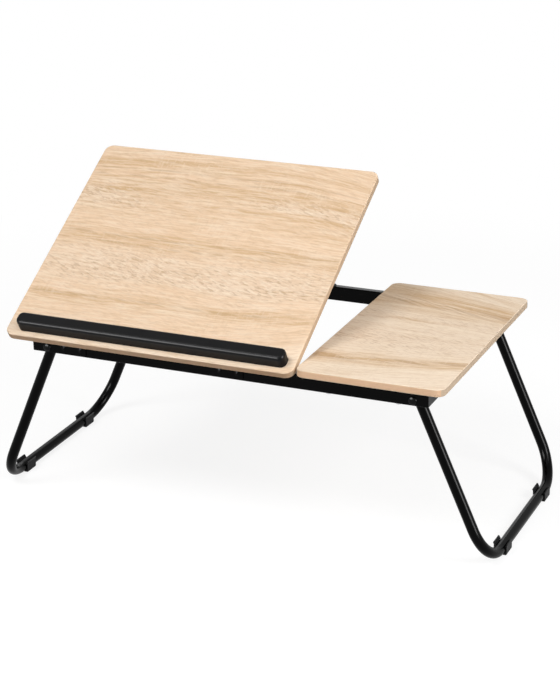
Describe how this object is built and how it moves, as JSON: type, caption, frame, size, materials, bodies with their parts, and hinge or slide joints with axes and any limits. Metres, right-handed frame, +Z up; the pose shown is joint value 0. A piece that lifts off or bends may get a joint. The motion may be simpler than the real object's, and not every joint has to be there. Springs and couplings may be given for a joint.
{
  "type": "portable reading table",
  "caption": "Folding bed table with a tilting reading board and stop bar beside a fixed flat board, on a black tube frame with fold-in U-shaped legs.",
  "frame": {"origin": "on the floor, below the middle of the tube frame", "axes": "+X along the table to the fixed board's end, +Y to the back, +Z up"},
  "size_m": [0.7082, 0.3547, 0.4142],
  "materials": {
    "oak_foil_board": "oak foil on fibreboard, satin",
    "black_steel": "black powder coat, semi-gloss",
    "bright_steel": "plated steel",
    "black_plastic": "moulded, satin",
    "nylon": "moulded nylon",
    "black_rubber": "matte"
  },
  "bodies": {
    "table_frame": {"side_board": "oak_foil_board", "side_board_screws": "bright_steel", "front_rail": "black_steel", "rear_rail": "black_steel", "left_end_bar": "black_steel", "right_end_bar": "black_steel", "left_cross_strap": "black_steel", "right_cross_strap": "black_steel", "left_bail_lug": "black_steel", "right_bail_lug": "black_steel", "rest_buffers": "black_rubber", "left_hinge_rail_leaf": "black_steel", "right_hinge_rail_leaf": "black_steel", "left_hinge_pin": "bright_steel", "right_hinge_pin": "bright_steel", "hinge_rivets": "black_steel", "leg_pivot_rivets": "black_steel", "leg_spacers": "nylon", "leg_tail_washers": "bright_steel"},
    "tilt_panel": {"tilt_board": "oak_foil_board", "stop_bar": "black_plastic", "stop_bar_screws": "bright_steel", "left_hinge_board_leaf": "black_steel", "right_hinge_board_leaf": "black_steel", "hinge_screws": "bright_steel", "left_notch_rack": "black_plastic", "right_notch_rack": "black_plastic", "rack_screws": "bright_steel"},
    "bail": {"support_bail": "black_steel", "bail_push_nuts": "bright_steel"},
    "left_leg": {"left_leg_tube": "black_steel", "left_front_foot": "black_plastic", "left_rear_foot": "black_plastic"},
    "right_leg": {"right_leg_tube": "black_steel", "right_front_foot": "black_plastic", "right_rear_foot": "black_plastic"}
  },
  "joints": [
    {"name": "board_tilt", "type": "hinge", "parent": "table_frame", "child": "tilt_panel", "pos_m": [-0.103, -0.1668, 0.2341], "axis": [1, 0, 0], "range_deg": [-29.8, 0]},
    {"name": "bail_swing", "type": "hinge", "parent": "table_frame", "child": "bail", "pos_m": [-0.103, -0.0271, 0.225], "axis": [1, 0, 0], "range_deg": [-59.6, 0]},
    {"name": "left_leg_fold", "type": "hinge", "parent": "table_frame", "child": "left_leg", "pos_m": [-0.25151, 0, 0.222], "axis": [0, -1, 0], "range_deg": [0, 113.5]},
    {"name": "right_leg_fold", "type": "hinge", "parent": "table_frame", "child": "right_leg", "pos_m": [0.25151, 0, 0.222], "axis": [0, 1, 0], "range_deg": [0, 113.5]}
  ],
  "couplings": [
    {"joint": "bail_swing", "follows": "board_tilt", "ratio": 2}
  ]
}
